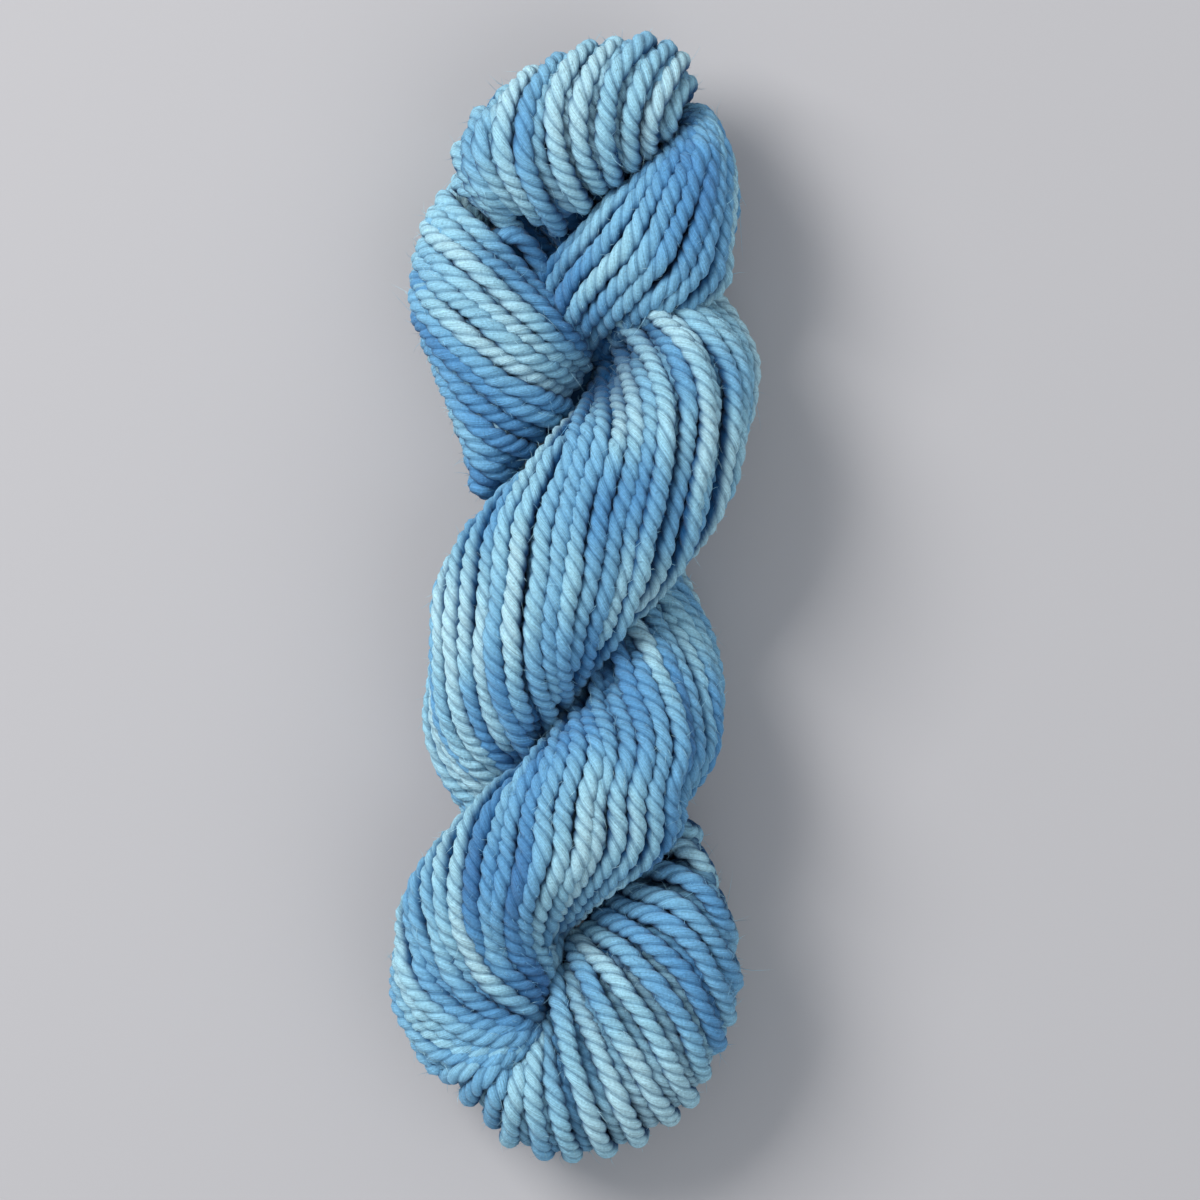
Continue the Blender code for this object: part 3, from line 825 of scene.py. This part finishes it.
FAN_SINKS = ((0.0, 0.0), (3.4, 2.2), (0.5, 0.2), (3.4, 2.0))  # in turn, inner and outer depth
FAN_YARNS = 23
fan_sinks = np.tile(FAN_SINKS, (6, 1))[:FAN_YARNS]
hoop_yarns("fan_yarns", FAN, (-0.28, 1.8), fan_sinks, 0.03)


# ---------------------------------------------------------------------------------------
# The inside of the hank. Under the outer yarns lie more of the same. They show at the
# sides and below, where the outer ones part, and as a ground in painted shade elsewhere.
# What is deeper than they are is one plain closed body in each strand, all painted shade.

INNER_YARNS = 21
INNER_DEPTH = 3.5  # of the inner layer under the outer yarns
INNER_FINENESS = (9, 2.5)  # corners and step of yarns that only fill
SECOND_INNER_RUN = (26.0, -84.0)

# The inner layers are shifted 0.05 darker, as painted shade, besides the painted shade of their
# depth.
for name, side, run, sunk in (
    ("first_inner_yarns", 0, FIRST_RUN, first_sunk),
    ("second_inner_yarns", 180, SECOND_INNER_RUN, second_sunk),
):
    inner_run = strand_yarns(side, run, INNER_YARNS, sunk, INNER_DEPTH)
    lay_yarns(name, *inner_run[:3], -0.05, *INNER_FINENESS)

# Where the outer yarns spread round the edge of the leg and of the turn, others show
# between them, and a layer of others fills the fan.
LEG_SIDE_SINKS = ((3.4, 0.9),) * 12
TURN_SIDE_SINKS = ((6.0, 1.2),) * 12
FAN_INNER_SINKS = ((4.6, 4.6),) * 22
hoop_yarns(
    "left_leg_side_yarns", LEFT_LEG, (0.08, 1.9), LEG_SIDE_SINKS, 0.0, LEG_LEAN,
    first=0.5, rise_from=0.5,
)
hoop_yarns(
    "turn_side_yarns", WHIRL[:7], (0.45, 1.9), TURN_SIDE_SINKS, 0.0,
    first=0.25, rise_from=0.5,
)
# The fan's inner layer is shifted 0.05 darker too, as painted shade.
hoop_yarns(
    "fan_inner_yarns", FAN, (-0.28, 1.9), FAN_INNER_SINKS, -0.05,
    first=0.2, fineness=INNER_FINENESS,
)

# Below the left yarns of the turn the strand's lowest ones keep beside them, round the
# left wall, and end under the last yarn of the whirl.
UNDER_START = 129.0  # degrees
UNDER_PLACE = 0.72  # section place of the lowest left yarn there
UNDER_RISE = 0.0098  # its rise with each degree
UNDER_STEP = 0.068  # to the next yarn
UNDER_YARNS = 18
UNDER_STOP = 1.95  # section place where they are out of sight
UNDER_SINK = 1.2  # how much deeper every other one lies
UNDER_DIVE = 5.0  # how deep they start
UNDER_DIVE_SPAN = 9.0  # degrees in which they come up from there


def under_yarns():
    """Paths beside the lowest left yarn, their outward directions and their depths."""
    number = np.arange(1, UNDER_YARNS + 1)[:, None]
    jitter = rng.uniform(-0.15, 0.15, (UNDER_YARNS, 1))
    first_place = UNDER_PLACE + UNDER_STEP * (number + jitter)
    along = np.linspace(0, 1, 60)[None] * (UNDER_STOP - first_place)
    degrees = UNDER_START + along / UNDER_RISE
    places = first_place + along
    dive = ramp(UNDER_START + UNDER_DIVE_SPAN - degrees, 0, UNDER_DIVE_SPAN)
    sink = UNDER_DIVE * dive + UNDER_SINK * (number % 2)
    return *left_surface(degrees, places, YARN_RADIUS + sink), sink


lay_yarns("turn_under_yarns", *under_yarns(), 0.01)

CORE_DEPTH = 8.0  # of the bodies of the rope, under its outline
THIN_CORE_DEPTH = 6.4  # of those of the open loop and the fan
CORE_SHADE = 0.12  # painted light of the bodies, so low that they are painted shade
CORE_POINTS = 32  # round each section
CORE_STEP = 4.0  # between the sections


def core_body(name, rings):
    """A closed body through the section rings given. A face looks along the cross product
    of the steps round and along the body, so the points of every ring are taken the other
    way round where that looks inward."""
    step_round = np.roll(rings, -1, axis=1) - rings
    step_along = np.roll(rings, -1, axis=0) - rings
    outward = rings - rings.mean(axis=1, keepdims=True)
    if (np.cross(step_round, step_along) * outward)[:-1].sum() < 0:
        rings = rings[:, ::-1]
    sections, points, _ = rings.shape
    quads, caps = tube_faces(sections, points)
    corner_u = np.repeat(np.arange(sections - 1) / 20, points)
    corner_v = np.tile(np.arange(points) / points, sections - 1)
    uv = np.repeat(np.stack([corner_u, corner_v], axis=-1), 4, axis=0)
    # The bodies are all painted shade: their low painted light gives them the painted shade blue.
    shade = np.full(sections * points, CORE_SHADE)
    return finish_piece(name, draw_in(rings.reshape(-1, 3))[0], quads, caps, uv, shade)


fine = np.linspace(0, 2 * np.pi, CORE_POINTS, endpoint=False)[None]
y = np.arange(-88.0, 105.0, CORE_STEP)[:, None]
core_body("first_core", strand_surface(y, fine, 0, CORE_DEPTH + first_sunk(y)))
y = np.arange(-88.0, 20.0, CORE_STEP)[:, None]
core_body("second_core", strand_surface(y, fine, 180, CORE_DEPTH))

# Under the upper pinch the strands part, and a small bundle of yarns crosses between them.
BUNDLE_MIDDLE = (4.0, 52.0, 14.0)
BUNDLE_HALF = (10.5, 11.0, 9.0)  # half its length, width and height
BUNDLE_YARNS = 5
BUNDLE_OUT = 1.6  # of their middles over the body


def pinch_bundle(x, around, depth):
    """Points of the bundle at a depth under its surface: an egg shape across the hank."""
    half = np.sqrt(np.maximum(1 - ((x - BUNDLE_MIDDLE[0]) / BUNDLE_HALF[0]) ** 2, 0.01))
    y = BUNDLE_MIDDLE[1] + (BUNDLE_HALF[1] * half - depth) * np.cos(around)
    z = BUNDLE_MIDDLE[2] + (BUNDLE_HALF[2] * half - depth) * np.sin(around)
    return np.stack(np.broadcast_arrays(x, y, z), axis=-1)


core_body("pinch_core", pinch_bundle(np.linspace(-6.0, 14.0, 8)[:, None], fine, 0.0))
below = np.linspace(3.0, 6.5, 40)[None]
points = pinch_bundle(np.linspace(-3.2, 11.2, BUNDLE_YARNS)[:, None], below, -BUNDLE_OUT)
away = np.stack(np.broadcast_arrays(0.0, np.cos(below), np.sin(below)), axis=-1)
# Their depth of 1 only gives them a little painted shade.
sinks = np.ones((BUNDLE_YARNS, 40))
lay_yarns("pinch_under_yarns", points, [away[0]] * BUNDLE_YARNS, sinks, -0.02)

degrees = np.arange(-60.0, 200.0, 9.0)[:, None] + 0 * fine
core_body("turn_core", turn_surface(degrees, np.cos(fine), np.sin(fine), CORE_DEPTH))
for name, rows, start, stop in (
    ("left_leg_core", LEFT_LEG, 1.0, 9.0),
    ("back_arch_core", BACK_ARCH, 0.0, 1.0),
    ("right_leg_core", RIGHT_LEG, 0.12, 0.90),
    ("fan_core", FAN, 1.0, 10.5),
):
    share = np.linspace(start, stop, 24)[:, None]
    points, _ = leaf_surface(share, np.cos(fine), np.sin(fine), rows, THIN_CORE_DEPTH)
    core_body(name, points)


# ---------------------------------------------------------------------------------------
# The loose fibres. Fine short hairs stand off the wool all over, most of them slanting
# along the yarn, so its edge looks soft.

FIBRE_RADIUS = 0.07
FIBRE_TAPER = 0.7  # share of the radius lost towards the tip
FIBRE_SPREAD = 0.35  # how much their directions differ
FIBRE_BEND = 0.5
BACK_BEND = 0.3  # most that one bends back against its own direction
LOWEST = 0.2  # height over the floor


def loose_fibres(name, count, rings, shortest, longest, stand):
    """Bent hairs from random corners of the yarns: each goes outwards by the stand given
    and along the yarn, and bends at random with the square of its length, though never so
    far that it turns back."""
    weights = np.array([len(place) for _, _, place in yarn_runs], float)
    chosen = rng.choice(len(yarn_runs), count, p=weights / weights.sum())
    ring = (rng.random(count) * (weights[chosen] - 3)).astype(int) + 1
    corner = rng.integers(0, ROUND, count)
    tubes, painted_lights, places = zip(*[yarn_runs[k] for k in chosen])
    base = np.array([tube[i, j] for tube, i, j in zip(tubes, ring, corner)])
    middle = np.array([tube[i].mean(axis=0) for tube, i in zip(tubes, ring)])
    ahead = np.array([tube[i + 1].mean(axis=0) for tube, i in zip(tubes, ring)]) - middle
    shade = np.array([painted_light[i, j] for painted_light, i, j in zip(painted_lights, ring, corner)])
    start = np.array([place[i] for place, i in zip(places, ring)])
    out = unit(base - middle)
    aim = stand * out + rng.choice([-1.0, 1.0], (count, 1)) * unit(ahead)
    aim = unit(aim + rng.normal(0, FIBRE_SPREAD, (count, 3)))
    length = rng.uniform(shortest, longest, (count, 1))
    bend = rng.normal(0, FIBRE_BEND, (count, 3))
    bend -= np.minimum((bend * aim).sum(axis=1, keepdims=True) + BACK_BEND, 0) * aim
    share = np.linspace(0, 1, rings)[None, :, None]
    line = base[:, None] + aim[:, None] * length[:, None] * share
    line = line + bend[:, None] * length[:, None] * share**2
    line[..., 2] = np.maximum(line[..., 2], LOWEST)
    side = unit(np.cross(aim, out + 0.01))
    over = np.cross(aim, side)
    angle = np.arange(3) * 2 * np.pi / 3
    round_it = np.cos(angle)[:, None] * side[:, None] + np.sin(angle)[:, None] * over[:, None]
    thick = FIBRE_RADIUS * (1 - FIBRE_TAPER * share[:, :-1, :, None])
    stem = (line[:, :-1, None] + thick * round_it[:, None]).reshape(count, -1, 3)
    corners = np.concatenate([stem, line[:, -1:]], axis=1)
    tip = corners.shape[1] - 1
    sides, _ = tube_faces(rings - 1, 3)
    a, b, c = tip - 3, tip - 2, tip - 1
    ends = np.array([[a, b, tip], [b, c, tip], [c, a, tip], [2, 1, 0]])
    first = (np.arange(count) * (tip + 1))[:, None, None]
    u = np.concatenate([np.repeat(start, sides.size), np.repeat(start, ends.size)])
    uv = np.stack([u, np.full(len(u), 1 / 3)], axis=-1)
    quads = (sides + first).reshape(-1, 4)
    closing = (ends + first).reshape(-1, 3).tolist()
    # Each hair takes the painted shade of the yarn corner it grows from, lightened by a square
    # root.
    hair_painted_light = np.repeat(np.sqrt(shade), tip + 1)
    return finish_piece(name, corners.reshape(-1, 3), quads, closing, uv, hair_painted_light, 0.08)


loose_fibres("short_fibres", 19000, rings=3, shortest=0.8, longest=2.6, stand=0.8)
loose_fibres("long_fibres", 1800, rings=5, shortest=2.6, longest=5.5, stand=0.5)


# ---------------------------------------------------------------------------------------
# The floor, the light and the camera. The hank lies on a plain pale floor under soft
# light from the upper left, seen from straight above.

PHOTO_SIDE = 1200  # pixels
PHOTO_MIDDLE = (600, 600)
HANK_MIDDLE = (575, 596.5)  # pixels, where the frame's origin lies
PIXEL = 0.23957  # mm
VIEW_DISTANCE = 1500.0  # from the hank's middle height to the camera
SENSOR = 36.0
FLOOR_HALF = 4.0  # metres, half its side
FLOOR_GREY = (0.458, 0.452, 0.466, 1)
ROOM_LIGHT = (0.90, 0.94, 1.0, 1)
ROOM_STRENGTH = 0.48

floor_mesh = bpy.data.meshes.new("floor")
square = ((-1, -1), (1, -1), (1, 1), (-1, 1))
floor_corners = [(FLOOR_HALF * x, FLOOR_HALF * y, 0) for x, y in square]
floor_mesh.from_pydata(floor_corners, [], [(0, 1, 2, 3)])
floor = bpy.data.objects.new("floor", floor_mesh)
bpy.context.scene.collection.objects.link(floor)
pale = bpy.data.materials.new("pale_floor")
pale.use_nodes = True
floor_shader = pale.node_tree.nodes["Principled BSDF"]
floor_shader.inputs["Base Color"].default_value = FLOOR_GREY
floor_shader.inputs["Roughness"].default_value = 0.9
floor_mesh.materials.append(pale)

world = bpy.data.worlds.new("studio")
world.use_nodes = True
background = world.node_tree.nodes["Background"]
background.inputs["Color"].default_value = ROOM_LIGHT
background.inputs["Strength"].default_value = ROOM_STRENGTH
bpy.context.scene.world = world


def soft_light(name, place, size, power, colour):
    """A square area light, turned so that it looks at the hank's middle."""
    lamp = bpy.data.lights.new(name, "AREA")
    lamp.size = size
    lamp.energy = power
    lamp.color = colour
    holder = bpy.data.objects.new(name, lamp)
    holder.location = place
    aim = -np.array(place)
    holder.rotation_euler = (
        np.arccos(-aim[2] / np.linalg.norm(aim)),
        0,
        np.arctan2(aim[1], aim[0]) - np.pi / 2,
    )
    bpy.context.scene.collection.objects.link(holder)


soft_light("window_light", (-1.1, 0.8, 1.3), 0.9, 34.0, (1.0, 0.98, 0.96))
soft_light("fill_light", (0.9, -0.7, 1.6), 1.6, 8.0, (0.93, 0.97, 1.0))

camera_data = bpy.data.cameras.new("camera")
camera_data.sensor_width = SENSOR
camera_data.lens = SENSOR * VIEW_DISTANCE / (PHOTO_SIDE * PIXEL)
camera = bpy.data.objects.new("camera", camera_data)
camera.location = (
    (PHOTO_MIDDLE[0] - HANK_MIDDLE[0]) * PIXEL * MM,
    (HANK_MIDDLE[1] - PHOTO_MIDDLE[1]) * PIXEL * MM,
    (VIEW_DISTANCE + MID_HEIGHT) * MM,
)
bpy.context.scene.collection.objects.link(camera)
bpy.context.scene.camera = camera
bpy.context.scene.view_settings.view_transform = "Standard"
